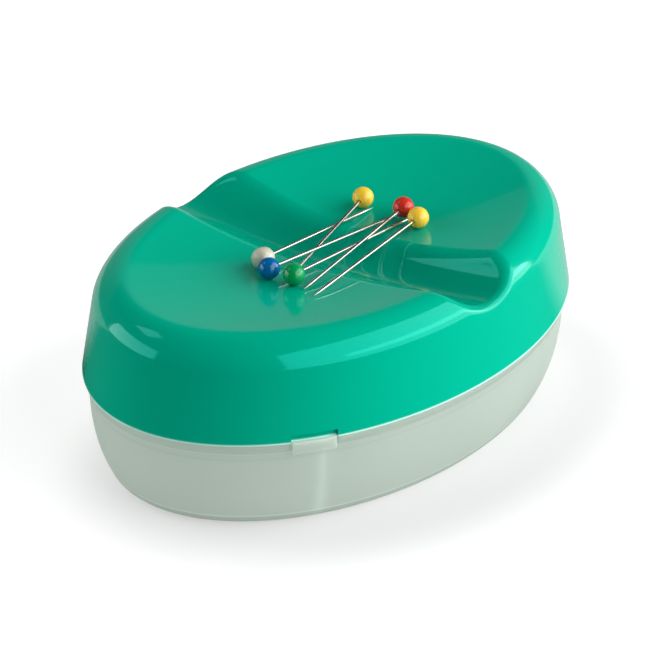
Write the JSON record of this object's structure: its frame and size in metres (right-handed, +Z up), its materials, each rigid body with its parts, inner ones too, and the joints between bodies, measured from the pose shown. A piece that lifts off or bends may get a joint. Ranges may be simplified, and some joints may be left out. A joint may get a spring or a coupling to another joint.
{
  "type": "magnetic pin box",
  "caption": "Oval lidded box for sewing pins: frosted compartment tray, glossy dished lid with a finger groove over a hidden ring magnet, and ball-headed pins lying on top.",
  "frame": {"origin": "centre of the tray's foot, on the surface that the box stands on", "axes": "+Z up, +X along the oval's long axis, +Y along its short axis and the finger groove"},
  "size_m": [0.111, 0.0754, 0.036],
  "materials": {
    "frosted_plastic": "frosted translucent polypropylene, fine satin texture",
    "lid_plastic": "high-gloss opaque moulded plastic",
    "ferrite": "sintered ferrite, ground faces",
    "pin_steel": "bright nickel-plated steel wire",
    "green_head": "glossy moulded head",
    "pearl_head": "pearl-lustre moulded head",
    "yellow_head": "glossy moulded head",
    "blue_head": "glossy moulded head",
    "red_head": "glossy moulded head"
  },
  "bodies": {
    "tray": {"base_tray": "frosted_plastic"},
    "lid": {"lid_shell": "lid_plastic", "ring_magnet": "ferrite", "magnet_cover": "lid_plastic"},
    "green_pin": {"green_pin_wire": "pin_steel", "green_pin_head": "green_head"},
    "white_pin": {"white_pin_wire": "pin_steel", "white_pin_head": "pearl_head"},
    "far_yellow_pin": {"far_yellow_pin_wire": "pin_steel", "far_yellow_pin_head": "yellow_head"},
    "blue_pin": {"blue_pin_wire": "pin_steel", "blue_pin_head": "blue_head"},
    "red_pin": {"red_pin_wire": "pin_steel", "red_pin_head": "red_head"},
    "near_yellow_pin": {"near_yellow_pin_wire": "pin_steel", "near_yellow_pin_head": "yellow_head"}
  },
  "joints": [
    {"name": "lid_lift", "type": "slide", "parent": "tray", "child": "lid", "axis": [0, 0, 1], "range_m": [0, 0.03]},
    {"name": "green_pin_lift", "type": "slide", "parent": "lid", "child": "green_pin", "axis": [0, 0, 1], "range_m": [0, 0.012]},
    {"name": "white_pin_lift", "type": "slide", "parent": "green_pin", "child": "white_pin", "axis": [0, 0, 1], "range_m": [0, 0.012]},
    {"name": "far_yellow_pin_lift", "type": "slide", "parent": "white_pin", "child": "far_yellow_pin", "axis": [0, 0, 1], "range_m": [0, 0.012]},
    {"name": "blue_pin_lift", "type": "slide", "parent": "far_yellow_pin", "child": "blue_pin", "axis": [0, 0, 1], "range_m": [0, 0.012]},
    {"name": "red_pin_lift", "type": "slide", "parent": "blue_pin", "child": "red_pin", "axis": [0, 0, 1], "range_m": [0, 0.012]},
    {"name": "near_yellow_pin_lift", "type": "slide", "parent": "lid", "child": "near_yellow_pin", "axis": [0, 0, 1], "range_m": [0, 0.012]}
  ]
}
